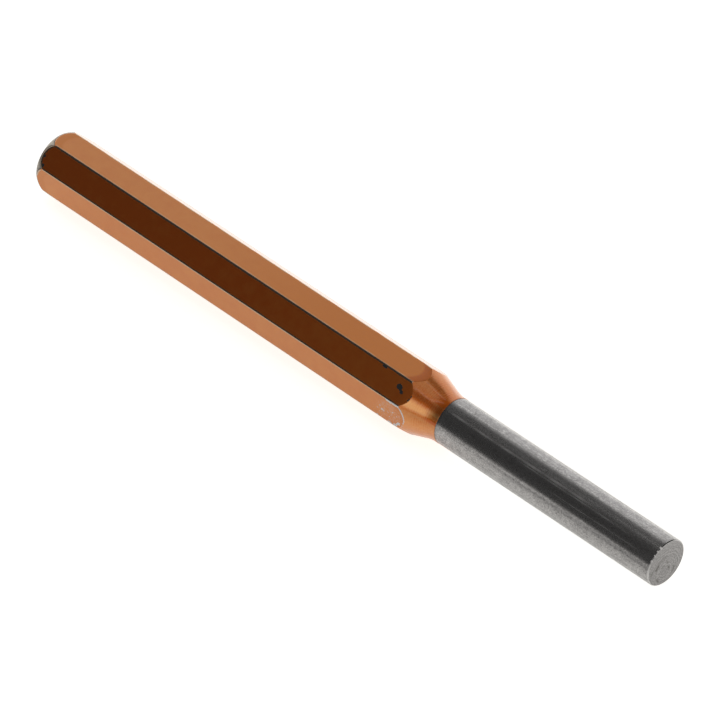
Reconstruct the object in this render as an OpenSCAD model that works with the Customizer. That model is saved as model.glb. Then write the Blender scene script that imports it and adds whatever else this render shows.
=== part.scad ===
// Pin punch: an octagonal steel shank with a crowned struck head and a turned taper,
// a ground pin of the same steel, and a lacquer coat from the bare crown to the root of the pin.
// The punch lies on one flat along X, struck head at -X and pin tip at +X.

/* [Shank] */
// Overall length, struck face to pin tip
overall_length = 150; // [120:1:200]
// Width across opposite flats, over the lacquer
across_flats = 12; // [11:0.5:16]
// Rounding of the eight long edges of the steel
edge_radius = 0.28; // [0.15:0.01:0.6]

/* [Struck head] */
// Radius of the rounding that crowns the head
crown_radius = 5.2; // [3.5:0.1:8]
// How far the crown drops from the long edges to the rim of the struck face
crown_drop = 0.8; // [0.4:0.1:1.6]

/* [Taper] */
// Angle of the taper to the axis
taper_angle = 18; // [12:0.5:30]
// Radius of the hollow rounding where the taper meets the pin
root_radius = 9; // [4:0.5:14]

/* [Pin] */
// Diameter of the ground pin
pin_diameter = 9; // [5:0.1:9.4]
// Length of the bare pin, lacquer edge to tip
pin_length = 50.3; // [30:0.1:70]
// Straight neck under the lacquer, between the hollow and the bare pin
neck_length = 0.3; // [0.25:0.05:2]
// Chamfer around the pin tip
tip_chamfer = 0.15; // [0.05:0.05:0.6]

/* [Finish] */
// Thickness of the lacquer
lacquer_thickness = 0.05; // [0.03:0.01:0.12]

/* [Hidden] */
$fn = 96;
corner_half = 180 / 8;
blend_lap = 0.002;
steel_half = across_flats / 2 - lacquer_thickness;
corner_centre = (steel_half - edge_radius) / cos(corner_half);
edge_reach = corner_centre + edge_radius;
turn_stock = edge_reach + 0.6;
crown_rise = lacquer_thickness + 0.04;
crown_centre = edge_reach + crown_rise - crown_radius;
crown_depth = crown_drop + crown_rise;
crown_level = sqrt(2 * crown_radius * crown_depth - crown_depth * crown_depth);
face_radius = edge_reach - crown_drop;
pin_radius = pin_diameter / 2;
bare_level = overall_length - pin_length;
root_level = bare_level - neck_length;
root_centre = pin_radius + root_radius;
steel_color = [0.42, 0.42, 0.43];
lacquer_color = [0.72, 0.45, 0.27];

// Cross section of the bar: an octagon with every corner rounded, grown by the given layer
module bar_section(layer) {
    flats = 2 * (steel_half + layer);
    round_radius = edge_radius + layer;
    difference() {
        intersection() {
            square(flats, center = true);
            rotate(45)
                square(flats, center = true);
        }
        for (corner = [0:7])
            rotate(corner_half + 45 * corner)
                translate([corner_centre, 0])
                    difference() {
                        translate([round_radius * cos(corner_half), -edge_reach / 4])
                            square(edge_reach / 2);
                        circle(r = round_radius + blend_lap);
                    }
    }
}

// Ring turned away at the struck head, which leaves the crown
module crown_waste() {
    rotate_extrude()
        difference() {
            translate([face_radius - 1, -1])
                square([turn_stock - face_radius + 2, crown_level + 1]);
            translate([crown_centre, crown_level])
                circle(r = crown_radius);
        }
}

// Straight stock over the shank, the cone of the taper and the hollow at the root
module taper_outline(layer) {
    hollow = root_radius - layer;
    cone_end_radius = root_centre - hollow * cos(taper_angle);
    cone_end_level = root_level - hollow * sin(taper_angle);
    cone_start_level = cone_end_level - (turn_stock - cone_end_radius) / tan(taper_angle);
    difference() {
        polygon([
            [0, -1],
            [turn_stock, -1],
            [turn_stock, cone_start_level],
            [cone_end_radius, cone_end_level],
            [pin_radius + layer, root_level],
            [0, root_level]
        ]);
        translate([root_centre, root_level])
            circle(r = hollow + blend_lap);
    }
}

// Straight neck, carried back through the taper as a core
module neck_outline(layer) {
    translate([0, crown_level])
        square([pin_radius + layer, bare_level - crown_level]);
}

// Octagonal bar trimmed by the turned outline, so the cone runs out on the flats
module tapered_bar(layer) {
    intersection() {
        linear_extrude(height = overall_length)
            bar_section(layer);
        rotate_extrude() {
            taper_outline(layer);
            neck_outline(layer);
        }
    }
}

// Turns an upright punch down on to a flat, centred over the origin
module lay_down() {
    translate([-overall_length / 2, 0, across_flats / 2])
        rotate([0, 90, 0])
            children();
}

module octagon_shank() {
    color(steel_color)
        lay_down()
            difference() {
                tapered_bar(0);
                crown_waste();
            }
}

module drive_pin() {
    color(steel_color)
        lay_down()
            rotate_extrude()
                polygon([
                    [0, bare_level],
                    [pin_radius, bare_level],
                    [pin_radius, overall_length - tip_chamfer],
                    [pin_radius - tip_chamfer, overall_length],
                    [0, overall_length]
                ]);
}

module lacquer_coat() {
    color(lacquer_color)
        lay_down()
            difference() {
                tapered_bar(lacquer_thickness);
                tapered_bar(0);
                crown_waste();
            }
}

octagon_shank();
drive_pin();
lacquer_coat();
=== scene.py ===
import math

import bpy
import numpy as np
from mathutils import Matrix


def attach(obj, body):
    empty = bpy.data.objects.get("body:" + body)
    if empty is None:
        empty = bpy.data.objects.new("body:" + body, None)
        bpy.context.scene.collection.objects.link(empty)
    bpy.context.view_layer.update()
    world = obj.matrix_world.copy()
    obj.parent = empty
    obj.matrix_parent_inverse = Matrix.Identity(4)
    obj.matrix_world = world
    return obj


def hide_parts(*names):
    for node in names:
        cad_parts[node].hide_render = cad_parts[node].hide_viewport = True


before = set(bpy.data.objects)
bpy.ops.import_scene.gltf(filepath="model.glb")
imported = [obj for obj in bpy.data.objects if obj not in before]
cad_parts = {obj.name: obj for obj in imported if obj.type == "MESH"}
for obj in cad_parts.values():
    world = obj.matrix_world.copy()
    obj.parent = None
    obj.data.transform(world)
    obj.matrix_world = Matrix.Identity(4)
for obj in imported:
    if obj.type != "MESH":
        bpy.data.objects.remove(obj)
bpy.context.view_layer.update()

print("frame loaded, nodes:", sorted(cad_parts))

mm = 0.001
scene = bpy.context.scene
scene.view_settings.view_transform = "Standard"

# sizes of the punch in mm, as in the CAD
punch = {
    "length": 150.0,
    "acrossFlats": 12.0,
    "edgeRadius": 0.28,
    "crownRadius": 5.2,
    "crownDrop": 0.8,
    "crownRise": 0.09,
    "taperAngle": 18.0,
    "rootRadius": 9.0,
    "pinDiameter": 9.0,
    "pinLength": 50.3,
    "neckLength": 0.3,
    "tipChamfer": 0.15,
    "lacquer": 0.05,
}

endX = punch["length"] / 2
axisZ = punch["acrossFlats"] / 2
cornerHalf = math.radians(22.5)
taper = math.radians(punch["taperAngle"])
pinR = punch["pinDiameter"] / 2
bareX = endX - punch["pinLength"]  # where the lacquer stops
rootX = bareX - punch["neckLength"]
rootR = pinR + punch["rootRadius"]
steelHalf = axisZ - punch["lacquer"]
cornerCentre = (steelHalf - punch["edgeRadius"]) / math.cos(cornerHalf)
edgeReach = cornerCentre + punch["edgeRadius"]
crownR = edgeReach + punch["crownRise"] - punch["crownRadius"]
crownDepth = punch["crownDrop"] + punch["crownRise"]
crownX = -endX + math.sqrt(2 * punch["crownRadius"] * crownDepth - crownDepth**2)
slopeStep = 0.01  # mm between the points that give a slope


def smoothStep(low, high, value):
    t = np.clip((value - low) / (high - low), 0.0, 1.0)
    return t * t * (3 - 2 * t)


def spread(a, b, shares):
    return a + (b - a) * shares


def wobble(angle, seed, waves):
    # slow irregular ripple round the bar, from -1 to 1
    rng = np.random.default_rng(seed)
    total = np.zeros_like(angle)
    for k in range(1, waves + 1):
        total = total + np.sin(k * angle + rng.uniform(0, 6.28)) * rng.uniform(0.3, 1.0) / k**0.5
    return total / np.abs(total).max()


# columns of points round the octagon
section = {
    "acrossFlat": 29,
    "inset": 0.1,  # mm from the outermost of these to the end of the flat
    "nearEdge": 0.03,  # and of one more beside the rounded edge
    "aroundEdge": 5,
}


def sectionColumns(layer):
    # points round the rounded octagon: angle, radius, normal angle, distance to the rounded edge,
    # nearest edge, mm rubbed bare beside it and the film's depth, set per flat as painted shade
    half = steelHalf + layer
    roundR = punch["edgeRadius"] + layer
    flatHalf = cornerCentre * math.sin(cornerHalf)
    inset, nearEdge = section["inset"], section["nearEdge"]
    across = np.concatenate(
        [
            [-flatHalf, -flatHalf + nearEdge],
            np.linspace(-flatHalf + inset, flatHalf - inset, section["acrossFlat"]),
            [flatHalf - nearEdge, flatHalf],
        ]
    )
    middle = (section["aroundEdge"] + 1) / 2
    rows = []
    for side in range(8):
        facing = math.radians(45 * side)
        filmAndShade = skin["filmAndShade"][side]
        for t in across:
            edge = side if t > 0 else side - 1
            rub = skin["edgeRub"][edge][0 if t > 0 else 1]
            place = (facing + math.atan2(t, half), math.hypot(t, half), facing)
            rows.append(place + (flatHalf - abs(t), edge, rub, filmAndShade))
        corner = facing + cornerHalf
        for step in range(1, section["aroundEdge"] + 1):
            turn = cornerHalf * (step / middle - 1)
            px = cornerCentre + roundR * math.cos(turn)
            py = roundR * math.sin(turn)
            filmAndShade = skin["filmAndShade"][side if step < middle else (side + 1) % 8]
            rub = max(skin["edgeRub"][side])
            place = (corner + math.atan2(py, px), math.hypot(px, py), corner + turn)
            rows.append(place + (0.0, side, rub, filmAndShade))
    return np.array(rows).T


def coneEnd(layer):
    # x and radius where the cone passes into the hollow
    hollow = punch["rootRadius"] - layer
    return rootX - hollow * math.sin(taper), rootR - hollow * math.cos(taper)


def turnedOutline(x, layer):
    # radius and slope of the turned surfaces at x: crown, cone, hollow and neck
    uncut = 40.0  # stands for no cut along the shank
    crownRound = punch["crownRadius"]
    hollow = punch["rootRadius"] - layer
    coneEndX, coneEndR = coneEnd(layer)
    dx = np.minimum(x - crownX, 0.0)
    rise = np.sqrt(np.maximum(crownRound**2 - dx**2, 1e-6))
    radius = np.where(x < crownX, crownR + rise, uncut)
    slope = np.where(x < crownX, -dx / rise, 0.0)
    onCone = x > 0
    radius = np.where(onCone, coneEndR + (coneEndX - x) * math.tan(taper), radius)
    slope = np.where(onCone, -math.tan(taper), slope)
    dx = np.clip(x - rootX, -hollow, 0.0)
    rise = np.sqrt(np.maximum(hollow**2 - dx**2, 1e-6))
    inHollow = x > coneEndX
    radius = np.where(inHollow, rootR - rise, radius)
    slope = np.where(inHollow, dx / rise, slope)
    return radius, slope


def buildMesh(name, points, normals, faces, bandValues):
    mesh = bpy.data.meshes.new(name)
    mesh.from_pydata((points * mm).tolist(), [], faces)
    mesh.polygons.foreach_set("use_smooth", [True] * len(mesh.polygons))
    for label, values in bandValues.items():
        layer = mesh.attributes.new(label, "FLOAT", "POINT")
        layer.data.foreach_set("value", values.astype(np.float32))
    mesh.update()
    mesh.normals_split_custom_set_from_vertices(normals.tolist())
    piece = bpy.data.objects.new(name, mesh)
    scene.collection.objects.link(piece)
    return piece


def gridFaces(rows, columns):
    faces = []
    for r in range(rows - 1):
        a = r * columns
        b = a + columns
        for c in range(columns):
            d = (c + 1) % columns
            faces.append((a + c, a + d, b + d, b + c))
    return faces


def capEnds(points, direction, rows, count, startX, stopX):
    # closes the first and the last ring with a fan of faces round a centre
    faces = gridFaces(rows, count)
    centre = len(points)
    last = (rows - 1) * count
    points = np.vstack([points, [[startX, 0, axisZ], [stopX, 0, axisZ]]])
    direction = np.vstack([direction, [[-1, 0, 0], [1, 0, 0]]])
    for c in range(count):
        d = (c + 1) % count
        faces.append((centre, d, c))
        faces.append((centre + 1, last + c, last + d))
    return points, direction, faces


# lacquer skin over the octagon and the taper
skin = {
    "creaseSoft": 0.03,  # rounding where turned surfaces meet the flats
    "flatRollTaper": 0.06,  # how far a flat rolls over before the cone
    "flatRollHead": 0.02,  # and before the crown
    "rollLength": 2.2,
    "evenRows": (-69.0, 10.0),  # rows stand evenly between these x
    "ripple": 0.009,  # unevenness of the turned taper
    "ringPitch": 0.37,  # turning marks on the taper
    "ringDepth": 0.008,
    "ringGain": (19.0, 21.5, 0.35),  # they deepen from and to these x, from this share
    "lip": 0.07,  # length of the rolled lip where the lacquer stops
    "lipWander": 0.045,
    "filmAndShade": [0.4, 0.3, 0.1, 1.0, 0.1, 0.5, 0.6, 0.3],  # how deep the copper lies on each flat: painted shade, deepest on the flat that mirrors the dark room
    "topShadeRun": (-45.0, 2.0, 0.95),  # painted shade: where along the top flat the copper deepens towards the taper, and how much
    "sideLightRun": (-40.0, 15.0, 0.25),  # painted light: where along the flat beside it the copper pales towards the taper, and how much
    # painted light and shade round the turned taper, as the copper's depth: angle in degrees, share
    "taperFilmAndShade": [
        (0, 0.50), (60, 0.55), (80, 0.70), (90, 0.80), (105, 0.62), (118, 0.85),
        (124, 1.00), (132, 1.00), (142, 0.12), (150, 0.06), (154, 0.62), (157, 0.66),
        (161, 0.42), (170, 0.45), (178, 0.33), (215, 0.38), (260, 0.50), (310, 0.45),
        (360, 0.50),
    ],
    "grooveFilm": (0.35, 0.33),  # how much more lies in the turning marks, and their mean depth
    # and painted shade in the hollow before the pin, painted light where the share is negative:
    # share, from and to in degrees
    "hollowShade": [(0.5, 95, 118), (-0.18, 115, 144), (0.5, 141, 163)],
    "rollFilm": (0.9, 0.6),  # how much gathers where the top flat rolls over, and where others do
    "haze": (15.4, 181.0, 3.4, 2.3),  # rubbed dull: x, angle, size along, size round
    # chips in the lacquer: x, angle round the bar in degrees, size along, size round, depth
    "chips": [
        (15.58, 129.6, 0.64, 0.50, 0.014), (16.02, 133.2, 0.26, 0.24, 0.014),
        (16.44, 136.0, 0.36, 0.32, 0.014), (10.95, 115.6, 0.62, 0.20, 0.012),
        (6.95, 142.0, 0.12, 0.30, 0.010), (-73.85, 136.5, 0.24, 0.26, 0.014),
        (-73.25, 151.5, 0.34, 0.30, 0.014), (-41.0, 247.0, 0.50, 0.30, 0.014),
        (5.5, 292.0, 0.40, 0.26, 0.014), (-73.6, 312.0, 0.34, 0.30, 0.014),
    ],
    # mm of steel rubbed bare on each side of the eight edges, counted from 22.5 degrees
    "edgeRub": [
        (0.04, 0.03), (0.02, 0.02), (0.05, 0.14), (0.13, 0.01), (0.03, 0.05), (0.06, 0.03),
        (0.03, 0.07), (0.05, 0.02),
    ],
    "rubDrift": 0.03,  # how much the rubbed width comes and goes along an edge
    # arcs rubbed bare: from and to in degrees, half width and shift along in mm
    "headRub": [
        (111, 159, 0.26, 0.10), (157, 180, 0.15, 0.07), (178, 199, 0.08, 0.03),
        (66, 110, 0.04, 0.0), (200, 228, 0.08, 0.0), (268, 320, 0.12, 0.0),
        (352, 378, 0.07, 0.0),
    ],
    "taperRub": [
        (128, 139, 0.08, -0.08), (135, 146, 0.17, -0.15), (243, 262, 0.08, 0.0),
        (318, 345, 0.07, 0.0),
    ],
    # bright scuffs: x, angle, size
    "scuffs": [
        (17.55, 193.5, 0.26), (17.25, 195.0, 0.22), (16.9, 194.5, 0.10),
        (17.75, 190.5, 0.10), (17.3, 191.5, 0.08), (13.47, 184.5, 0.18),
        (13.9, 186.0, 0.13), (13.2, 186.5, 0.06), (12.74, 194.2, 0.11), (12.9, 191.0, 0.06),
        (17.0, 189.0, 0.08), (16.2, 187.0, 0.05), (15.1, 190.0, 0.05), (16.6, 178.0, 0.05),
        (12.3, 201.4, 0.17), (12.6, 201.0, 0.13), (14.8, 201.6, 0.16), (15.1, 201.2, 0.22),
        (15.4, 200.9, 0.20), (15.75, 201.4, 0.15), (16.3, 200.2, 0.20), (16.6, 199.7, 0.24),
        (16.95, 198.6, 0.24), (-30.2, 268.0, 0.12), (20.0, 302.0, 0.15),
    ],
    # small ones: how many, and the ranges of x, angle and size
    "specks": (44, (12.0, 18.4), (176.0, 200.0), (0.03, 0.11)),
    # a bright line that starts on the edge and follows the arc, where it thins out; beside the edge
    # it is a painted highlight
    "scuffAndHighlightLine": {
        "startX": 14.2,
        "edge": 158.6,
        "arc": (158.0, 192.0),
        "halfWidth": 0.20,
        "thinnest": 0.35,
    },
}
away = 9.0  # mm, stands for far from any wear


def turnBetween(angle, degrees):
    return (angle - np.radians(degrees) + math.pi) % (2 * math.pi) - math.pi


def chipDepth(x, angle):
    depth = np.zeros_like(x)
    for cx, degrees, along, across, deep in skin["chips"]:
        turn = turnBetween(angle, degrees)
        far = np.hypot((x - cx) / along, turn * axisZ / across)
        depth = depth + deep * (1 - smoothStep(0.5, 1.25, far))
    return depth


def withinArc(angle, start, stop):
    # 1 inside the arc, fading over 3 degrees at its ends
    middle = (start + stop) / 2
    off = np.abs(np.degrees(turnBetween(angle, middle)))
    return 1 - smoothStep((stop - start) / 2 - 3, (stop - start) / 2, off)


def wearBands(x, angle, columns, creaseHead, creaseTaper):
    # distances in mm to the nearest worn edge, chip and bright scuff, the last also holding the
    # painted highlight line, negative inside
    gap, edge, rub = columns[3:6, None]
    onFlat = (x > creaseHead) & (x < creaseTaper + 0.05)
    drift = np.sin(0.61 * x + 2.1 * edge) + np.sin(1.7 * x + 4.3 * edge)
    drift = drift + np.sin(3.9 * x + 1.3 * edge)
    bare = np.where(onFlat, gap - rub - skin["rubDrift"] * drift / 2, away)
    for arcs, crease in ((skin["headRub"], creaseHead), (skin["taperRub"], creaseTaper)):
        for start, stop, wide, shift in arcs:
            inside = withinArc(angle, start, stop)  # outside, the band is moved out of reach
            arc = np.abs(x - crease - shift) - wide * inside + 2.0 * (1 - inside)
            bare = np.minimum(bare, arc)
    chip = np.full_like(x, away)
    for cx, degrees, along, across, _ in skin["chips"]:
        far = np.hypot((x - cx) / along, turnBetween(angle, degrees) * axisZ / across)
        chip = np.minimum(chip, (far - 1) * min(along, across))
    scuffAndHighlight = np.full_like(x, away)
    count, *ranges = skin["specks"]
    rng = np.random.default_rng(11)
    specks = zip(*[rng.uniform(low, high, count) for low, high in ranges])
    for cx, degrees, size in skin["scuffs"] + list(specks):
        scuffAndHighlight = np.minimum(scuffAndHighlight, np.hypot(x - cx, turnBetween(angle, degrees) * axisZ) - size)
    # the painted highlight beside the edge, running on round the arc
    line = skin["scuffAndHighlightLine"]
    low, high = line["arc"]
    onLower = np.abs(turnBetween(angle, 180)) < math.radians(23)  # the flat below that edge
    beside = np.abs(turnBetween(angle, line["edge"])) * axisZ
    along = np.where((x > line["startX"]) & onFlat & onLower, beside, away)
    around = np.abs(x - creaseTaper + 0.05) + 4.0 * (1 - withinArc(angle, low, high))
    worn = smoothStep(high, low, np.degrees(angle % (2 * math.pi)))
    wide = line["halfWidth"] * spread(line["thinnest"], 1.0, worn)
    scuffAndHighlight = np.minimum(scuffAndHighlight, np.minimum(along, around) - wide)
    return bare, chip, scuffAndHighlight


def rippleDepth(x, angle):
    # slow unevenness of the turned taper, from 0 to about 2
    wave = np.sin(9 * angle + 0.5 * x + 0.7) + 0.8 * np.sin(17 * angle - 0.9 * x)
    wave = wave + 0.7 * np.sin(5 * angle + 2.1)
    return (wave + 2.5) / 2.5


def ringWave(x, angle):
    # turning marks round the taper, from 0 to 1, deeper in some places than in others
    turn = 2 * math.pi * (x + 0.05 * np.sin(2.9 * x)) / skin["ringPitch"]
    patch = 0.6 + 0.4 * np.sin(3 * angle + 1.9 * x) * np.sin(7 * angle - 0.8 * x)
    low, high, least = skin["ringGain"]
    return patch * spread(least, 1.0, smoothStep(low, high, x)) * (1 - np.cos(turn)) / 2


def skinRadius(x, columns, creaseHead, creaseTaper, layer):
    # radius, slope along x and slope round the bar of the lacquered body
    angle, octagon, facing = columns[:3]
    nearTaper = np.clip(1 - (creaseTaper - x) / skin["rollLength"], 0.0, 1.0)
    nearHead = np.clip(1 - (x - creaseHead) / skin["rollLength"], 0.0, 1.0)
    flat = octagon - skin["flatRollTaper"] * nearTaper**2 - skin["flatRollHead"] * nearHead**2
    flatSlope = (
        -2 * skin["flatRollTaper"] * nearTaper + 2 * skin["flatRollHead"] * nearHead
    ) / skin["rollLength"]
    turned, turnedSlope = turnedOutline(x, layer)
    soft = skin["creaseSoft"]
    share = np.maximum(soft - np.abs(flat - turned), 0.0) / soft
    radius = np.minimum(flat, turned) - share**2 * soft / 4
    flatShare = np.where(flat < turned, 1 - share / 2, share / 2)
    roundSlope = -octagon * np.tan(facing - angle) * flatShare
    return radius, flatShare * flatSlope + (1 - flatShare) * turnedSlope, roundSlope


def creaseLines(columns, layer):
    # x where the crown and the cone run out on the flats
    octagon = columns[1]
    crownRound = punch["crownRadius"]
    headR = octagon - skin["flatRollHead"]
    head = crownX - np.sqrt(np.maximum(crownRound**2 - (headR - crownR) ** 2, 1e-4))
    coneEndX, coneEndR = coneEnd(layer)
    cone = coneEndX - (octagon - skin["flatRollTaper"] - coneEndR) / math.tan(taper)
    return head, cone


def addRing(rows, x, r, angle, nx, nr, nt):
    # one ring of points: place, angle and normal along, outward and round
    rows.append([value * np.ones_like(angle) for value in (x, r, angle, nx, nr, nt)])


def placeRings(rows):
    x, r, angle, nx, nr, nt = np.array(rows).transpose(1, 0, 2)
    points = np.stack([x, r * np.cos(angle), axisZ + r * np.sin(angle)], -1).reshape(-1, 3)
    direction = np.stack(
        [nx, nr * np.cos(angle) - nt * np.sin(angle), nr * np.sin(angle) + nt * np.cos(angle)], -1
    ).reshape(-1, 3)
    return x, r, angle, points, direction / np.linalg.norm(direction, axis=1, keepdims=True)


def buildSkin():
    layer = punch["lacquer"]
    columns = sectionColumns(layer)
    angle = columns[0]
    count = len(angle)
    creaseHead, creaseTaper = creaseLines(columns, layer)
    steelColumns = sectionColumns(0.0)
    steelAngle = steelColumns[0]
    steelHead, steelTaper = creaseLines(steelColumns, 0.0)
    coneEndX = coneEnd(layer)[0]

    def sunk(x, turn):
        onCone = smoothStep(0.1, 0.6, x - creaseTaper) * (1 - smoothStep(-1.2, 0.0, x - rootX))
        uneven = skin["ripple"] * rippleDepth(x, turn) + skin["ringDepth"] * ringWave(x, turn)
        return chipDepth(x, turn) + uneven * onCone

    # rows follow the two crease lines, so both arcs stay crisp on every flat
    rows = []
    evenFrom, evenTo = skin["evenRows"]
    near = np.array([0.0, 0.03, 0.06, 0.09, 0.13, 0.2])
    bodyX = [spread(steelHead, creaseHead, s) for s in (0.0, 0.4, 0.8)]
    bodyX += [creaseHead + s for s in near]
    bodyX += [spread(creaseHead + near[-1], evenFrom, s) for s in np.linspace(0, 1, 23)[1:-1]]
    bodyX += list(np.linspace(evenFrom, evenTo, 66))
    bodyX += [spread(evenTo, creaseTaper - near[-1], s) for s in np.linspace(0, 1, 46)[1:-1]]
    bodyX += [creaseTaper - s for s in near[:0:-1]] + [creaseTaper + s for s in near]
    bodyX += [spread(creaseTaper + near[-1], coneEndX, s) for s in np.linspace(0, 1, 56)[1:]]
    bodyX += list(np.linspace(coneEndX, rootX, 48)[1:])
    step, turn = slopeStep, slopeStep / axisZ
    for x in bodyX:
        r, along, around = skinRadius(x, columns, creaseHead, creaseTaper, layer)
        along = along - (sunk(x + step, angle) - sunk(x - step, angle)) / (2 * step)
        around = around - (sunk(x, angle + turn) - sunk(x, angle - turn)) / (2 * turn)
        r = r - sunk(x, angle)
        addRing(rows, x, r, angle, -along, 1.0, -around / r)

    # the lacquer stops on the neck in a thin rolled lip that wanders a little
    lipX = bareX - skin["lipWander"] * (1 + wobble(angle, 5, 14)) / 2
    addRing(rows, lipX - skin["lip"], pinR + layer, angle, 0.0, 1.0, 0.0)
    for turn in np.linspace(0, math.pi / 2, 6)[1:]:
        outX = lipX - skin["lip"] * (1 - math.sin(turn))
        outR = pinR + layer * math.cos(turn)
        addRing(rows, outX, outR, angle, math.sin(turn) / skin["lip"], math.cos(turn) / layer, 0.0)
    outerRows = len(rows)

    # inner side of the coat, against the steel, back to the crown
    innerX = [bareX - 0.2]
    innerX += [spread(rootX, coneEndX, s) for s in (0.3, 0.7, 1.0)]
    innerX += [spread(coneEndX, steelTaper, s) for s in (0.25, 0.5, 0.75, 1.0)]
    innerX += list(np.linspace(shankHead["evenRows"][1], evenFrom, 12))
    innerX += [spread(-72.0, steelHead, s) for s in (0.4, 0.8)]
    for x in innerX:
        r, along, around = skinRadius(x, steelColumns, steelHead, steelTaper, 0.0)
        addRing(rows, x, r, steelAngle, along, -1.0, around / r)

    x, _, angles, points, direction = placeRings(rows)
    faces = gridFaces(len(rows), count)
    last = (len(rows) - 1) * count
    faces += [(last + c, last + (c + 1) % count, (c + 1) % count, c) for c in range(count)]

    worn, chip, scuffAndHighlight = wearBands(x, angles, columns, creaseHead, creaseTaper)
    turned = smoothStep(-0.05, 0.05, x - creaseTaper)
    hollowed = smoothStep(coneEndX - 0.4, bareX - 1.0, x)
    # the film gathers where a flat rolls over at its ends, and painted shade deepens the top flat
    # towards the taper
    ends = np.maximum(x - creaseTaper, creaseHead - x) / skin["rollLength"] + 1
    roll = smoothStep(0.0, 0.3, ends) * (1 - turned)
    onTop = np.abs(turnBetween(columns[2], 90)) < 0.2
    onSide = np.abs(turnBetween(columns[2], 135)) < 0.2
    lowX, highX, most = skin["topShadeRun"]
    run = most * smoothStep(lowX, highX, x) * (1 - turned)
    topRoll, sideRoll = skin["rollFilm"]
    gatheredAndShade = np.where(onTop, topRoll * roll + run, sideRoll * roll * (1 - columns[6]))
    # painted light: the flat beside the top one pales towards the taper
    lowX, highX, most = skin["sideLightRun"]
    filmAndShade = columns[6] - most * smoothStep(lowX, highX, x) * onSide
    # painted light and shade round the taper and in the hollow, as the copper's depth
    shadeAngles, shadeShares = zip(*skin["taperFilmAndShade"])
    onTaper = np.interp(np.degrees(angles) % 360, shadeAngles, shadeShares)
    more, mean = skin["grooveFilm"]
    onTaper = onTaper + more * (ringWave(x, angles) - mean)
    for more, low, high in skin["hollowShade"]:
        onTaper = onTaper + more * hollowed * withinArc(angles, low, high)
    hazeX, hazeAngle, along, across = skin["haze"]
    hazy = np.hypot((x - hazeX) / along, turnBetween(angles, hazeAngle) * axisZ / across)
    bands = {
        "wornGap": worn,
        "chipGap": chip,
        "scuffAndHighlightGap": scuffAndHighlight,
        "turned": turned,
        "hollowed": hollowed,
        "filmAndShade": filmAndShade,
        "gatheredAndShade": gatheredAndShade,
        "taperFilmAndShade": onTaper * turned,
        "haze": (1 - smoothStep(0.6, 1.1, hazy)) * (1 - turned),
    }
    bands = {label: np.clip(values, -away, away).reshape(-1) for label, values in bands.items()}
    print("lacquer skin:", len(rows), "rows of", count, "points,", outerRows, "outside")
    return buildMesh("lacquer_skin", points, direction, faces, bands)


# steel shank: struck face and crown in the open, octagon and taper under the lacquer
shankHead = {
    "rimRound": 0.22,  # rounding between the struck face and the crown
    "evenRows": (-69.0, 12.0),
    "ringPitch": 0.34,  # facing rings on the struck face
    "ringDepth": 0.003,
    "seam": (0.92, 0.45),  # darker along the lacquer's edge: share and width in mm
    "seamMore": (112, 166, 0.6),  # wider there: from and to in degrees, mm
}


def buildShank():
    columns = sectionColumns(0.0)
    angle = columns[0]
    count = len(angle)
    creaseHead, creaseTaper = creaseLines(columns, 0.0)
    coneEndX = coneEnd(0.0)[0]
    crownRound = punch["crownRadius"]
    rim = shankHead["rimRound"]
    rimX = -endX + rim
    rimR = crownR + math.sqrt((crownRound - rim) ** 2 - (rimX - crownX) ** 2)
    rows = []
    steps = int(rimR / shankHead["ringPitch"] * 5)
    for k in range(1, steps + 1):
        r = rimR * k / steps
        fade = min(1.0, (rimR - r) / 0.3)
        phase = 2 * math.pi * r / shankHead["ringPitch"]
        sink = shankHead["ringDepth"] * fade * (1 - math.cos(phase)) / 2
        lean = shankHead["ringDepth"] * fade * math.sin(phase) * math.pi / shankHead["ringPitch"]
        addRing(rows, -endX + sink, r, angle, -1.0, lean, 0.0)
    rimEnd = math.atan2(rimR - crownR, rimX - crownX)
    for turn in np.linspace(math.pi, rimEnd, 8)[1:]:
        cosine, sine = math.cos(turn), math.sin(turn)
        addRing(rows, rimX + rim * cosine, rimR + rim * sine, angle, cosine, sine, 0.0)
    rimEndX = rimX + rim * math.cos(rimEnd)
    bodyX = [spread(rimEndX, creaseHead, s) for s in np.linspace(0, 1, 15)[1:]]
    evenFrom, evenTo = shankHead["evenRows"]
    bodyX += [spread(creaseHead, evenFrom, s) for s in (0.02, 0.2, 0.5)]
    bodyX += list(np.linspace(evenFrom, evenTo, 12))
    bodyX += [spread(evenTo, creaseTaper, s) for s in (0.5, 0.98, 1.0)]
    bodyX += [spread(creaseTaper, coneEndX, s) for s in (0.02, 0.5, 1.0)]
    bodyX += list(np.linspace(coneEndX, rootX, 9)[1:])
    for x in bodyX:
        r, along, around = skinRadius(x, columns, creaseHead, creaseTaper, 0.0)
        addRing(rows, x, r, angle, -along, 1.0, -around / r)
    x, _, angles, points, direction = placeRings(rows)
    points, direction, faces = capEnds(points, direction, len(rows), count, -endX, x[-1, 0])
    faced = np.append(smoothStep(-endX + 0.06, -endX + 0.02, x).reshape(-1), [1.0, 0.0])
    print("crowned shank:", len(rows), "rows of", count, "points")
    share, wide = shankHead["seam"]
    low, high, more = shankHead["seamMore"]
    wide = wide + more * withinArc(angles, low, high)
    seam = np.append((share * smoothStep(-wide, 0.0, x - creaseHead)).reshape(-1), [0.0, 0.0])
    plain = np.zeros_like(faced)
    bands = {"faced": faced, "edge": plain, "highlightStreak": plain, "seam": seam}
    return buildMesh("crowned_shank", points, direction, faces, bands)


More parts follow.
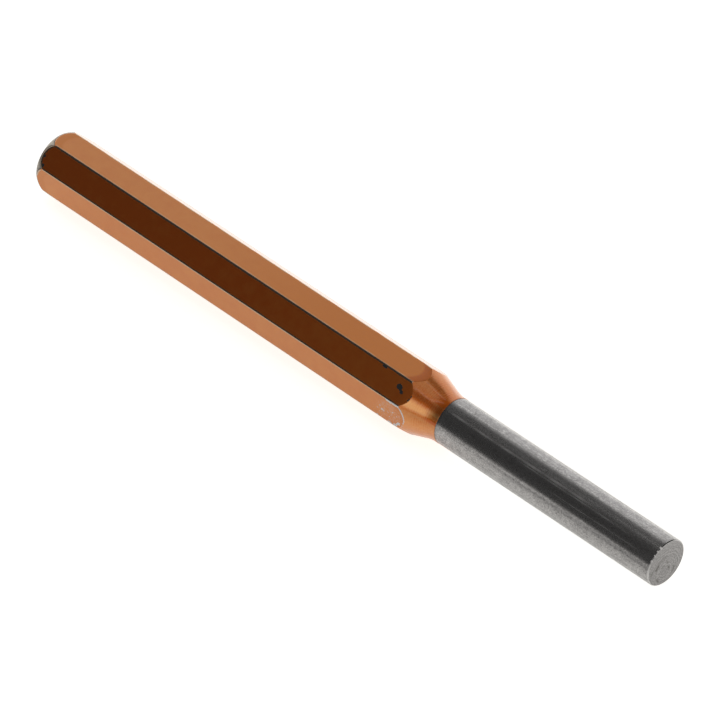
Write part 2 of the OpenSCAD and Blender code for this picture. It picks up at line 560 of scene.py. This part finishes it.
# ground pin with its worn edge and faced tip
pin = {
    "segments": 288,
    "underLip": 0.35,  # runs on beneath the lacquer's lip
    "cornerSoft": 0.012,
    "innerSoft": 0.045,  # rounding between the tip's face and its chamfer
    # its two inner rings: back and out in shares of it, and normal along and outward
    "innerRings": [(0.707, 0.707, 1.0, 1.0), (0.184, -0.076, 0.924, 0.383)],
    # painted highlight on the chamfer, partly its polish; its inner corner takes the full highlight
    "chamferHighlight": 0.45,
    "nick": 0.06,  # deepest of the small nicks in the tip's edge
    "ringPitch": 0.32,
    "ringDepth": 0.003,
    "ringEnd": 4.1,  # radius at which the facing rings fade out
    "swirl": (-0.4, -1.8),  # where the facing rings centre, across and up from the axis
    # dirt in short deep marks round it: distance, from and to in degrees, half width, share
    "marks": [
        (2.60, 112, 152, 0.28, 0.78), (3.50, 142, 166, 0.20, 0.42),
        (1.93, 46, 84, 0.15, 0.55), (1.36, 82, 128, 0.14, 0.50), (1.10, -8, 44, 0.17, 0.70),
        (2.30, -36, 8, 0.20, 0.60), (1.80, 188, 236, 0.24, 0.55),
        (2.95, 70, 128, 0.40, 0.24),
    ],
    # places where the tip's edge is knocked flat: angle, half width, depth
    "burrs": [(107.0, 3.2, 0.16), (118.0, 1.6, 0.07), (129.0, 1.6, 0.06), (143.0, 2.0, 0.08)],
    "burrLean": 0.8,  # how much less the chamfer faces outward there
    "edgeDirt": (66, 105, 0.70),  # dark arc on the chamfer: from and to in degrees, share
    "rootDirt": (0.45, 0.4),  # dirt at the lacquer's edge: share and width in mm
    # painted highlights in long streaks along the pin: angle in degrees, from x, to x, half width
    "highlightStreaks": [
        (115.0, 24.0, 63.0, 0.20), (121.0, 41.0, 71.0, 0.10), (139.0, 50.0, 74.0, 0.06),
        (212.0, 30.0, 62.0, 0.10), (264.0, 36.0, 72.0, 0.08), (331.0, 27.0, 57.0, 0.10),
        (23.0, 42.0, 70.0, 0.08),
    ],
}


def streakHighlightShare(x, angle):
    share = np.zeros_like(x)
    for degrees, start, stop, wide in pin["highlightStreaks"]:
        off = turnBetween(angle, degrees + 0.6 * np.sin(0.16 * x + degrees)) * pinR / wide
        window = smoothStep(start, start + 4, x) * (1 - smoothStep(stop - 8, stop, x))
        uneven = 0.75 + 0.25 * np.sin(1.1 * x + degrees)
        share = np.maximum(share, np.exp(-(off**2)) * window * uneven)
    return share


def tipDepth(y, z):
    # facing rings round a point beside the axis, coming and going
    far = np.hypot(y - pin["swirl"][0], z - pin["swirl"][1])
    broken = 0.55 + 0.45 * np.sin(2.1 * far + 1.3 * np.sin(0.9 * y + 0.4) + 0.8 * z)
    wave = (1 - np.cos(2 * math.pi * far / pin["ringPitch"])) / 2
    inside = np.clip((pin["ringEnd"] - np.hypot(y, z)) / 0.2, 0.0, 1.0)
    fade = inside * (1 - 0.75 * smoothStep(2.4, 4.2, far))
    return pin["ringDepth"] * broken * wave * fade


def tipDirt(y, z):
    # dark marks on the tip's face
    far = np.hypot(y - pin["swirl"][0], z - pin["swirl"][1])
    turn = np.arctan2(z - pin["swirl"][1], y - pin["swirl"][0])
    share = np.zeros_like(y)
    for distance, low, high, wide, most in pin["marks"]:
        off = (far - distance - 0.12 * np.sin(3 * turn + distance)) / wide
        half = math.radians(high - low) / 2
        across = turnBetween(turn, (low + high) / 2) / half
        within = 1 - smoothStep(0.3, 1.1, np.abs(across))
        share = np.maximum(share, most * np.exp(-(off**2)) * within)
    return share


def buildPin():
    angle = np.linspace(0, 2 * math.pi, pin["segments"], endpoint=False)
    count = len(angle)
    rows = []
    startX = bareX - pin["underLip"]
    for share in (0.25, 0.5, 0.75, 0.97):
        addRing(rows, startX, pinR * share, angle, -1.0, 0.0, 0.0)
    nearRoot = np.linspace(startX, bareX + 0.6, 9)
    onward = np.linspace(bareX + 1.0, endX - 0.6, 60)
    for x in np.concatenate([nearRoot, onward]):
        addRing(rows, x, pinR, angle, 0.0, 1.0, 0.0)
    # chamfer with a few nicks, its two corners just broken
    chamfer = punch["tipChamfer"]
    soft = pin["cornerSoft"]
    nicks = smoothStep(0.3, 0.9, wobble(angle, 23, 40)) * pin["nick"]
    flatness = np.zeros_like(angle)
    for degrees, half, deep in pin["burrs"]:
        spot = 1 - smoothStep(0.5 * half, half, np.abs(np.degrees(turnBetween(angle, degrees))))
        flatness = np.maximum(flatness, spot)
        nicks = np.maximum(nicks, deep * spot)
    lean = 1 - pin["burrLean"] * flatness  # how far the chamfer faces outward
    firstEdge = len(rows)
    addRing(rows, endX - chamfer - nicks - soft, pinR, angle, 0.0, 1.0, 0.0)
    addRing(rows, endX - chamfer - nicks + soft, pinR - soft, angle, 1.0, lean, 0.0)
    inner = pin["innerSoft"]
    innerR = pinR - chamfer - nicks
    for back, out, along, outward in pin["innerRings"]:
        ringR = innerR + out * inner
        addRing(rows, endX - back * inner, ringR, angle, along, outward * lean, 0.0)
    addRing(rows, endX, innerR - inner, angle, 1.0, 0.0, 0.0)
    lastEdge = len(rows)
    faceR = pinR - chamfer - nicks.max() - inner - 0.01
    steps = int(faceR / pin["ringPitch"] * 6)
    step = slopeStep
    for k in range(steps, 0, -1):
        y = faceR * k / steps * np.cos(angle)
        z = faceR * k / steps * np.sin(angle)
        alongY = (tipDepth(y + step, z) - tipDepth(y - step, z)) / (2 * step)
        alongZ = (tipDepth(y, z + step) - tipDepth(y, z - step)) / (2 * step)
        outward = alongY * np.cos(angle) + alongZ * np.sin(angle)
        around = alongZ * np.cos(angle) - alongY * np.sin(angle)
        addRing(rows, endX - tipDepth(y, z), faceR * k / steps, angle, 1.0, outward, around)
    x, r, angles, points, direction = placeRings(rows)
    tipX = endX - tipDepth(0.0, 0.0)
    points, direction, faces = capEnds(points, direction, len(rows), count, startX, tipX)
    onChamfer = slice(firstEdge + 1, lastEdge - 2)
    knocked = slice(firstEdge + 1, lastEdge - 1)
    # painted highlight: the chamfer lightened, its inner corner fully, partly for its polish
    edge = np.zeros_like(x)
    edge[onChamfer] = pin["chamferHighlight"]
    edge[lastEdge - 2] = 1.0
    faced = smoothStep(endX - 0.05, endX - 0.02, x)
    faced[knocked] = np.maximum(faced[knocked], flatness)
    onFace = np.arange(len(rows))[:, None] >= lastEdge
    dirt = tipDirt(r * np.cos(angles), r * np.sin(angles)) * onFace
    low, high, share = pin["edgeDirt"]
    dirt[onChamfer] = share * withinArc(angle, low, high)
    share, wide = pin["rootDirt"]
    dirt = np.maximum(dirt, share * (1 - smoothStep(bareX, bareX + wide, x)))
    bands = {"faced": faced, "edge": edge, "highlightStreak": streakHighlightShare(x, angles), "seam": dirt}
    bands = {label: np.append(values.reshape(-1), [0.0, 0.0]) for label, values in bands.items()}
    bands["faced"][-1] = 1.0
    print("ground pin:", len(rows), "rows of", count, "points")
    return buildMesh("ground_pin", points, direction, faces, bands)


# node helpers
def newMaterial(name):
    material = bpy.data.materials.new(name)
    material.use_nodes = True
    tree = material.node_tree
    tree.nodes.clear()
    output = tree.nodes.new("ShaderNodeOutputMaterial")
    shader = tree.nodes.new("ShaderNodeBsdfPrincipled")
    tree.links.new(shader.outputs[0], output.inputs[0])
    return material, tree, shader


def feed(tree, socket, value):
    if isinstance(value, bpy.types.NodeSocket):
        tree.links.new(value, socket)
    else:
        socket.default_value = value


def mathNode(tree, kind, a, b=None, c=None):
    node = tree.nodes.new("ShaderNodeMath")
    node.operation = kind
    for socket, value in zip(node.inputs, (a, b, c)):
        if value is not None:
            feed(tree, socket, value)
    return node.outputs[0]


def rangeNode(tree, value, low, high, fromValue, toValue, smooth=True):
    node = tree.nodes.new("ShaderNodeMapRange")
    node.interpolation_type = "SMOOTHSTEP" if smooth else "LINEAR"
    labels = ("Value", "From Min", "From Max", "To Min", "To Max")
    for label, given in zip(labels, (value, low, high, fromValue, toValue)):
        feed(tree, node.inputs[label], given)
    return node.outputs["Result"]


def blendValue(tree, share, a, b):
    # a where the share is 0, b where it is 1
    return rangeNode(tree, share, 0.0, 1.0, a, b, False)


def mixColor(tree, share, a, b):
    node = tree.nodes.new("ShaderNodeMix")
    node.data_type = "RGBA"
    feed(tree, node.inputs[0], share)
    feed(tree, node.inputs[6], a)
    feed(tree, node.inputs[7], b)
    return node.outputs[2]


def noiseNode(tree, vector, scale, detail, rough):
    node = tree.nodes.new("ShaderNodeTexNoise")
    labels = ("Vector", "Scale", "Detail", "Roughness")
    for label, given in zip(labels, (vector, scale, detail, rough)):
        feed(tree, node.inputs[label], given)
    return node.outputs["Fac"]


def bumpNode(tree, height, strength, distance):
    node = tree.nodes.new("ShaderNodeBump")
    node.inputs["Strength"].default_value = strength
    node.inputs["Distance"].default_value = distance
    feed(tree, node.inputs["Height"], height)
    return node.outputs[0]


def stretched(tree, vector, scale):
    node = tree.nodes.new("ShaderNodeVectorMath")
    node.operation = "MULTIPLY"
    feed(tree, node.inputs[0], vector)
    node.inputs[1].default_value = scale
    return node.outputs[0]


def objectPoint(tree):
    return tree.nodes.new("ShaderNodeTexCoord").outputs["Object"]


def bandValue(tree, label):
    node = tree.nodes.new("ShaderNodeAttribute")
    node.attribute_name = label
    return node.outputs["Fac"]


# shared effects
def makeMottle():
    # slow cloudiness with a finer grain on top, both round 0.5
    group = bpy.data.node_groups.new("mottle", "ShaderNodeTree")
    group.interface.new_socket("Point", in_out="INPUT", socket_type="NodeSocketVector")
    for label in ("Cloud Scale", "Grain Scale"):
        group.interface.new_socket(label, in_out="INPUT", socket_type="NodeSocketFloat")
    for label in ("Cloud", "Grain"):
        group.interface.new_socket(label, in_out="OUTPUT", socket_type="NodeSocketFloat")
    start = group.nodes.new("NodeGroupInput")
    end = group.nodes.new("NodeGroupOutput")
    cloud = noiseNode(group, start.outputs["Point"], start.outputs["Cloud Scale"], 3.0, 0.55)
    grain = noiseNode(group, start.outputs["Point"], start.outputs["Grain Scale"], 2.0, 0.6)
    group.links.new(cloud, end.inputs["Cloud"])
    group.links.new(grain, end.inputs["Grain"])
    return group


mottle = makeMottle()
noiseSpan = (0.3, 0.7)  # nearly all of a noise lies between these


def placeMottle(tree, point, cloudScale, grainScale):
    node = tree.nodes.new("ShaderNodeGroup")
    node.node_tree = mottle
    feed(tree, node.inputs["Point"], point)
    node.inputs["Cloud Scale"].default_value = cloudScale
    node.inputs["Grain Scale"].default_value = grainScale
    return node.outputs["Cloud"], node.outputs["Grain"]


# finish of the lacquer
lacquer = {
    "copper": (0.665, 0.235, 0.043, 1),
    # painted shade on the flats, mixed in by the depth set for each flat
    "deepShadeCopper": (0.56, 0.116, 0.010, 1),
    # painted shade: these two darken the top flat towards the taper, along with the film gathered
    # where it rolls over
    "gatheredShadeCopper": (0.595, 0.179, 0.0105, 1),
    "rollShadeCopper": (0.50, 0.110, 0.004, 1),
    # painted light and shade of the taper: its pale and deep coppers
    "turnedLitCopper": (0.70, 0.315, 0.095, 1),
    "turnedShadeCopper": (0.57, 0.113, 0.004, 1),
    "hazeCopper": (0.66, 0.36, 0.22, 1),
    "wornEdge": (0.56, 0.41, 0.29, 1),
    "bareSteel": (0.30, 0.30, 0.30, 1),
    "scuffAndHighlightSteel": (0.60, 0.585, 0.57, 1),
    "cloudScale": 420.0,
    "grainScale": 5200.0,
    "raggedScale": 3200.0,
    "ragged": 0.045,  # mm that the bare edges wander
    "bareSoft": 0.02,  # mm over which they fade
    "scuffRagged": 2.6,  # scuffs wander so many times more
    "scuffSoft": 0.03,
    "cloudy": 0.12,  # unevenness of the film on the flats
    "patchy": 0.22,  # and on the taper
    "hazeScale": 3400.0,
    "hazeSpots": (0.45, 0.62, 0.75),  # where the dull spots start and are full, and how dull
    "flatRough": 0.42,
    "turnedRough": 0.34,
    "hollowRough": 0.40,
    "grainRough": 0.03,
    "bareRough": 0.15,
    "scuffRough": 0.35,
    "coatRough": 0.11,
    "coatIor": 1.45,
    "bump": (0.25, 0.00002),  # strength and height in metres
}


def makeLacquer():
    material, tree, shader = newMaterial("copper_lacquer_finish")
    point = objectPoint(tree)
    cloud, grain = placeMottle(tree, point, lacquer["cloudScale"], lacquer["grainScale"])

    # the lacquer is rubbed and chipped off in ragged outlines
    wander, soft = lacquer["ragged"], lacquer["bareSoft"]
    ragged = noiseNode(tree, point, lacquer["raggedScale"], 3.0, 0.6)
    ragged = mathNode(tree, "MULTIPLY_ADD", ragged, wander * 4, -wander * 2)
    gaps = [bandValue(tree, label) for label in ("wornGap", "chipGap")]
    gaps = [mathNode(tree, "ADD", gap, ragged) for gap in gaps]
    worn, chip = [rangeNode(tree, gap, -soft, soft, 1.0, 0.0) for gap in gaps]
    bare = mathNode(tree, "MAXIMUM", worn, chip)
    soft = lacquer["scuffSoft"]
    scuffAndHighlightGap = bandValue(tree, "scuffAndHighlightGap")
    scuffAndHighlight = mathNode(tree, "MULTIPLY_ADD", ragged, lacquer["scuffRagged"], scuffAndHighlightGap)
    scuffAndHighlight = rangeNode(tree, scuffAndHighlight, -soft, soft, 1.0, 0.0)

    # the film's thickness, cloudiness and painted shade deepen the copper, and the turned taper
    # shows its rings and painted light and shade round it
    uneven = lacquer["cloudy"]
    clouding = rangeNode(tree, cloud, *noiseSpan, -uneven, uneven, False)
    filmAndShade = mathNode(tree, "ADD", bandValue(tree, "filmAndShade"), clouding)
    filmAndShade = blendValue(tree, filmAndShade, 0.0, 1.0)
    tint = mixColor(tree, filmAndShade, lacquer["copper"], lacquer["deepShadeCopper"])
    gatheredAndShade = bandValue(tree, "gatheredAndShade")
    darkerShare = blendValue(tree, gatheredAndShade, 0.0, 1.0)
    tint = mixColor(tree, darkerShare, tint, lacquer["gatheredShadeCopper"])
    darkestShare = rangeNode(tree, gatheredAndShade, 1.0, 2.0, 0.0, 1.0, False)
    tint = mixColor(tree, darkestShare, tint, lacquer["rollShadeCopper"])
    low, high, most = lacquer["hazeSpots"]
    dull = noiseNode(tree, point, lacquer["hazeScale"], 3.0, 0.65)
    dull = rangeNode(tree, dull, low, high, 0.0, most)
    dull = mathNode(tree, "MULTIPLY", bandValue(tree, "haze"), dull)
    tint = mixColor(tree, dull, tint, lacquer["hazeCopper"])
    uneven = lacquer["patchy"]
    patchy = rangeNode(tree, ragged, -wander, wander, -uneven, uneven, False)
    onTaper = mathNode(tree, "ADD", bandValue(tree, "taperFilmAndShade"), patchy)
    onTaper = blendValue(tree, onTaper, 0.0, 1.0)
    turnedTint = mixColor(tree, onTaper, lacquer["turnedLitCopper"], lacquer["turnedShadeCopper"])
    tint = mixColor(tree, bandValue(tree, "turned"), tint, turnedTint)
    color = mixColor(tree, worn, tint, lacquer["wornEdge"])
    color = mixColor(tree, chip, color, lacquer["bareSteel"])
    # bright scuffs in light steel, with the painted highlight line
    color = mixColor(tree, scuffAndHighlight, color, lacquer["scuffAndHighlightSteel"])
    feed(tree, shader.inputs["Base Color"], color)
    shader.inputs["Metallic"].default_value = 1.0

    turned = bandValue(tree, "turned")
    rough = blendValue(tree, turned, lacquer["flatRough"], lacquer["turnedRough"])
    rough = blendValue(tree, bandValue(tree, "hollowed"), rough, lacquer["hollowRough"])
    uneven = lacquer["grainRough"]
    grainy = rangeNode(tree, grain, *noiseSpan, -uneven, uneven, False)
    rough = mathNode(tree, "ADD", rough, grainy)
    rough = blendValue(tree, bare, rough, lacquer["bareRough"])
    rough = blendValue(tree, scuffAndHighlight, rough, lacquer["scuffRough"])
    feed(tree, shader.inputs["Roughness"], rough)
    cover = mathNode(tree, "SUBTRACT", 1.0, mathNode(tree, "MAXIMUM", bare, scuffAndHighlight))
    feed(tree, shader.inputs["Coat Weight"], cover)
    shader.inputs["Coat Roughness"].default_value = lacquer["coatRough"]
    shader.inputs["Coat IOR"].default_value = lacquer["coatIor"]
    feed(tree, shader.inputs["Normal"], bumpNode(tree, grain, *lacquer["bump"]))
    return material


# finish of the bare steel
steel = {
    "pinLight": (0.52, 0.505, 0.495, 1),
    "pinDark": (0.212, 0.204, 0.20, 1),
    "crownLight": (0.45, 0.405, 0.345, 1),
    "crownDark": (0.25, 0.215, 0.175, 1),
    "edgeHighlight": (0.72, 0.705, 0.695, 1),
    "streakHighlight": (0.62, 0.61, 0.60, 1),
    "seamDark": (0.07, 0.06, 0.05, 1),
    "pinBlotch": 700.0,  # scale of the clouding
    "crownBlotch": 500.0,
    "grainScale": 3600.0,
    "lineScale": 2000.0,
    "lineStretch": (0.02, 1, 1),  # grinding lines run along the bar
    "mix": (0.2, 0.55, 0.25),  # shares of clouding, grain and lines in the light and dark spots
    "endMix": (0.5, 0.2),  # grain on the faced end, and its least
    "contrast": (0.37, 0.63),
    "swirlScale": 3200.0,  # rings on the faced end
    "swirlBend": 0.0012,
    "swirlFade": (0.0022, 0.0044, 0.45, 0.12),  # from and to in metres off the centre, shares there
    "streakHighlightShare": 0.6,
    "streakRough": 0.12,
    "rough": (0.285, 0.205),  # dark and light spots
    "facedRough": 0.40,
    "edgeRough": 0.25,
    "bumpMix": (0.35, 0.7),  # lines and grain
    "bump": (0.4, 0.00001),  # strength and height in metres
}


def makeSteel(name, dark, light, blotch, centre):
    # ground or turned steel, with rings of lighter and darker steel on its faced end
    material, tree, shader = newMaterial(name)
    point = objectPoint(tree)
    cloud, grain = placeMottle(tree, point, blotch, steel["grainScale"])
    along = stretched(tree, point, steel["lineStretch"])
    lines = noiseNode(tree, along, steel["lineScale"], 3.0, 0.65)
    faced = bandValue(tree, "faced")

    fromCentre = tree.nodes.new("ShaderNodeVectorMath")
    fromCentre.operation = "DISTANCE"
    feed(tree, fromCentre.inputs[0], stretched(tree, point, (0, 1, 1)))
    fromCentre.inputs[1].default_value = (0, centre[0] * mm, (axisZ + centre[1]) * mm)
    far = fromCentre.outputs["Value"]
    ring = tree.nodes.new("ShaderNodeTexNoise")
    ring.noise_dimensions = "1D"
    feed(tree, ring.inputs["W"], mathNode(tree, "MULTIPLY_ADD", cloud, steel["swirlBend"], far))
    ring.inputs["Scale"].default_value = steel["swirlScale"]
    ring.inputs["Detail"].default_value = 2.0

    ofCloud, ofGrain, ofLines = steel["mix"]
    share = mathNode(tree, "MULTIPLY", cloud, ofCloud)
    share = mathNode(tree, "MULTIPLY_ADD", grain, ofGrain, share)
    share = mathNode(tree, "MULTIPLY_ADD", lines, ofLines, share)
    endShare = mathNode(tree, "MULTIPLY_ADD", grain, *steel["endMix"])
    weight = rangeNode(tree, far, *steel["swirlFade"])
    ringShare = mathNode(tree, "SUBTRACT", ring.outputs["Fac"], 0.5)
    endShare = mathNode(tree, "MULTIPLY_ADD", ringShare, weight, endShare)
    share = blendValue(tree, faced, share, endShare)
    share = rangeNode(tree, share, *steel["contrast"], 0.0, 1.0, False)
    edge = bandValue(tree, "edge")
    highlightStreak = bandValue(tree, "highlightStreak")
    color = mixColor(tree, share, dark, light)
    # painted highlight in streaks along the pin
    bright = mathNode(tree, "MULTIPLY", highlightStreak, steel["streakHighlightShare"])
    color = mixColor(tree, bright, color, steel["streakHighlight"])
    # painted highlight on the tip's chamfer, partly its polish
    color = mixColor(tree, edge, color, steel["edgeHighlight"])
    color = mixColor(tree, bandValue(tree, "seam"), color, steel["seamDark"])
    feed(tree, shader.inputs["Base Color"], color)
    shader.inputs["Metallic"].default_value = 1.0
    rough = blendValue(tree, share, *steel["rough"])
    rough = mathNode(tree, "MULTIPLY_ADD", highlightStreak, steel["streakRough"], rough)
    rough = blendValue(tree, faced, rough, steel["facedRough"])
    rough = blendValue(tree, edge, rough, steel["edgeRough"])
    feed(tree, shader.inputs["Roughness"], rough)
    ofLines, ofGrain = steel["bumpMix"]
    height = mathNode(tree, "MULTIPLY", lines, ofLines)
    height = mathNode(tree, "MULTIPLY_ADD", grain, ofGrain, height)
    feed(tree, shader.inputs["Normal"], bumpNode(tree, height, *steel["bump"]))
    return material


print("building pieces")
skinPiece = buildSkin()
skinPiece.data.materials.append(makeLacquer())
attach(skinPiece, "root")
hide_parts("lacquer_coat")

pinPiece = buildPin()
pinSteel = [steel[label] for label in ("pinDark", "pinLight", "pinBlotch")]
pinPiece.data.materials.append(makeSteel("ground_steel_pin", *pinSteel, pin["swirl"]))
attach(pinPiece, "root")
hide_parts("drive_pin")

shankPiece = buildShank()
crownSteel = [steel[label] for label in ("crownDark", "crownLight", "crownBlotch")]
shankPiece.data.materials.append(makeSteel("turned_steel_shank", *crownSteel, (0.0, 0.0)))
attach(shankPiece, "root")
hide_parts("octagon_shank")
print("pieces in place")

# stage, light and camera
studio = {
    "floorSize": 6.0,
    "floorWhite": 0.80,
    "floorSeen": 0.84,  # glow for the camera
    "floorMirrored": 0.50,  # glow for reflections in the steel and lacquer
    "floorTint": (1, 0.99, 0.955, 1),
    "pinShade": 0.66,  # how much the mirrored floor dims in front of the pin
    "shadeX": (0.014, 0.0335),  # from and to, as all pairs of this kind
    "shadeY": (-0.030, -0.006),
    "farGlow": (0.50, 0.30),  # how much more of it lies behind the shank and behind the pin
    "farX": (0.014, 0.022),
    "farY": (0.004, 0.02),
    "nearGlow": 0.14,  # and close in front of the taper and the pin
    "nearX": (0.013, 0.018),
    "nearY": (-0.022, -0.012),
    "nearFade": (-0.009, -0.006, 0.8),  # falls to this share closest to the punch
    "wallFacing": (-0.75, 0.66, 0),
    "wallTop": (0.60, 0.80),  # sine of the elevation where the bright wall fades out
    "wallSide": (0.40, 0.65),
    "wallLevel": 1.0,
    "roomLevel": 0.05,
}


def buildFloor():
    size = studio["floorSize"] / 2
    mesh = bpy.data.meshes.new("floor")
    corners = [(-size, -size, 0), (size, -size, 0), (size, size, 0), (-size, size, 0)]
    mesh.from_pydata(corners, [], [(0, 1, 2, 3)])
    floor = bpy.data.objects.new("floor", mesh)
    scene.collection.objects.link(floor)
    material, tree, shader = newMaterial("floor_paper")
    shader.inputs["Base Color"].default_value = (studio["floorWhite"],) * 3 + (1,)
    shader.inputs["Roughness"].default_value = 1.0
    shader.inputs["Specular IOR Level"].default_value = 0.0
    shader.inputs["Emission Color"].default_value = studio["floorTint"]
    path = tree.nodes.new("ShaderNodeLightPath").outputs
    mirrored = mathNode(tree, "MAXIMUM", path["Is Glossy Ray"], path["Is Transmission Ray"])
    split = tree.nodes.new("ShaderNodeSeparateXYZ")
    tree.links.new(objectPoint(tree), split.inputs[0])
    x, y = split.outputs[0], split.outputs[1]
    darkest = -studio["pinShade"] * studio["floorMirrored"]
    shade = rangeNode(tree, x, *studio["shadeX"], 0.0, darkest)
    shade = mathNode(tree, "MULTIPLY", shade, rangeNode(tree, y, *studio["shadeY"], 1.0, 0.0))
    far = rangeNode(tree, x, *studio["farX"], *studio["farGlow"])
    far = mathNode(tree, "MULTIPLY", far, rangeNode(tree, y, *studio["farY"], 0.0, 1.0))
    far = mathNode(tree, "ADD", far, studio["floorMirrored"])
    near = rangeNode(tree, x, *studio["nearX"], 0.0, studio["nearGlow"])
    near = mathNode(tree, "MULTIPLY", near, rangeNode(tree, y, *studio["nearY"], 0.0, 1.0))
    low, high, least = studio["nearFade"]
    near = mathNode(tree, "MULTIPLY", near, rangeNode(tree, y, low, high, 1.0, least))
    level = mathNode(tree, "ADD", mathNode(tree, "ADD", shade, near), far)
    mirrored = mathNode(tree, "MULTIPLY", mirrored, level)
    seen = path["Is Camera Ray"]
    glow = mathNode(tree, "MULTIPLY_ADD", seen, studio["floorSeen"], mirrored)
    feed(tree, shader.inputs["Emission Strength"], glow)
    mesh.materials.append(material)


def buildWorld():
    world = bpy.data.worlds.new("studio")
    scene.world = world
    world.use_nodes = True
    tree = world.node_tree
    tree.nodes.clear()
    output = tree.nodes.new("ShaderNodeOutputWorld")
    direction = tree.nodes.new("ShaderNodeTexCoord").outputs["Generated"]
    split = tree.nodes.new("ShaderNodeSeparateXYZ")
    tree.links.new(direction, split.inputs[0])
    facing = tree.nodes.new("ShaderNodeVectorMath")
    facing.operation = "DOT_PRODUCT"
    tree.links.new(direction, facing.inputs[0])
    facing.inputs[1].default_value = studio["wallFacing"]
    side = rangeNode(tree, facing.outputs["Value"], *studio["wallSide"], 0.0, 1.0)
    top = rangeNode(tree, split.outputs[2], *studio["wallTop"], 1.0, 0.0)
    wall = mathNode(tree, "MULTIPLY", side, top)
    least = studio["roomLevel"]
    level = mathNode(tree, "MULTIPLY_ADD", wall, studio["wallLevel"] - least, least)
    room = tree.nodes.new("ShaderNodeBackground")
    tree.links.new(level, room.inputs["Strength"])
    white = tree.nodes.new("ShaderNodeBackground")
    path = tree.nodes.new("ShaderNodeLightPath")
    mix = tree.nodes.new("ShaderNodeMixShader")
    for shader in (room, white):
        shader.inputs["Color"].default_value = (1, 1, 1, 1)
    tree.links.new(path.outputs["Is Camera Ray"], mix.inputs[0])
    tree.links.new(room.outputs[0], mix.inputs[1])
    tree.links.new(white.outputs[0], mix.inputs[2])
    tree.links.new(mix.outputs[0], output.inputs[0])


# lamps: place, aim, width, height, level, and for one that hangs level how it lies
lamps = {
    "side_softbox": ((0.19, -0.711, 0.311), (0.0, 0.0, 0.006), 0.712, 0.539, 1.12),
    "ceiling_softbox": ((0.225, -0.15, 1.0), (0.225, -0.15, 0.0), 1.25, 1.9, 0.15),
    "top_strip": ((0.30, 0.04, 0.98), (0.30, 0.04, 0.0), 0.9, 0.76, 0.36),
    "far_tube": ((0.20, 0.38, 0.97), (0.20, 0.38, 0.0), 1.20, 0.06, 1.0),
    "near_tube": (
        (-0.125, -0.144, 0.97), (-0.125, -0.144, 0.0), 0.775, 0.06, 1.2, (0.762, -0.648, 0.0)
    ),
}


def addSoftbox(name, centre, aim, width, height, level, along=(1.0, 0.0, 0.0)):
    lamp = bpy.data.lights.new(name, "AREA")
    lamp.shape = "RECTANGLE"
    lamp.size = width
    lamp.size_y = height
    lamp.energy = level * math.pi * width * height
    box = bpy.data.objects.new(name, lamp)
    scene.collection.objects.link(box)
    box.location = centre
    back = np.array(centre) - np.array(aim)
    back = back / np.linalg.norm(back)
    right = np.cross((0, 0, 1), back) if abs(back[2]) < 0.95 else np.array(along)
    right = right / np.linalg.norm(right)
    up = np.cross(back, right)
    box.rotation_euler = Matrix((right, up, back)).transposed().to_euler()
    box.visible_camera = False


# camera, fitted to the outline in the photo
photoView = {
    "lens": 322.48,
    "sensor": 36.0,
    "clip": (0.05, 20.0),
    "place": (0.59986, -0.596235, 0.747153),
    "right": (0.70536, 0.70885, 0.0013),
    "down": (0.46833, -0.46465, -0.75151),
    "ahead": (-0.5321, 0.5307, -0.65972),
}


def buildCamera():
    view = bpy.data.cameras.new("camera")
    view.sensor_width = photoView["sensor"]
    view.lens = photoView["lens"]
    view.clip_start, view.clip_end = photoView["clip"]
    camera = bpy.data.objects.new("camera", view)
    scene.collection.objects.link(camera)
    up = [-v for v in photoView["down"]]
    back = [-v for v in photoView["ahead"]]
    turn = Matrix((photoView["right"], up, back)).transposed()
    camera.matrix_world = Matrix.Translation(photoView["place"]) @ turn.to_4x4()
    scene.camera = camera


buildFloor()
buildWorld()
for name, values in lamps.items():
    addSoftbox(name, *values)
buildCamera()
print("stage, lights and camera set")
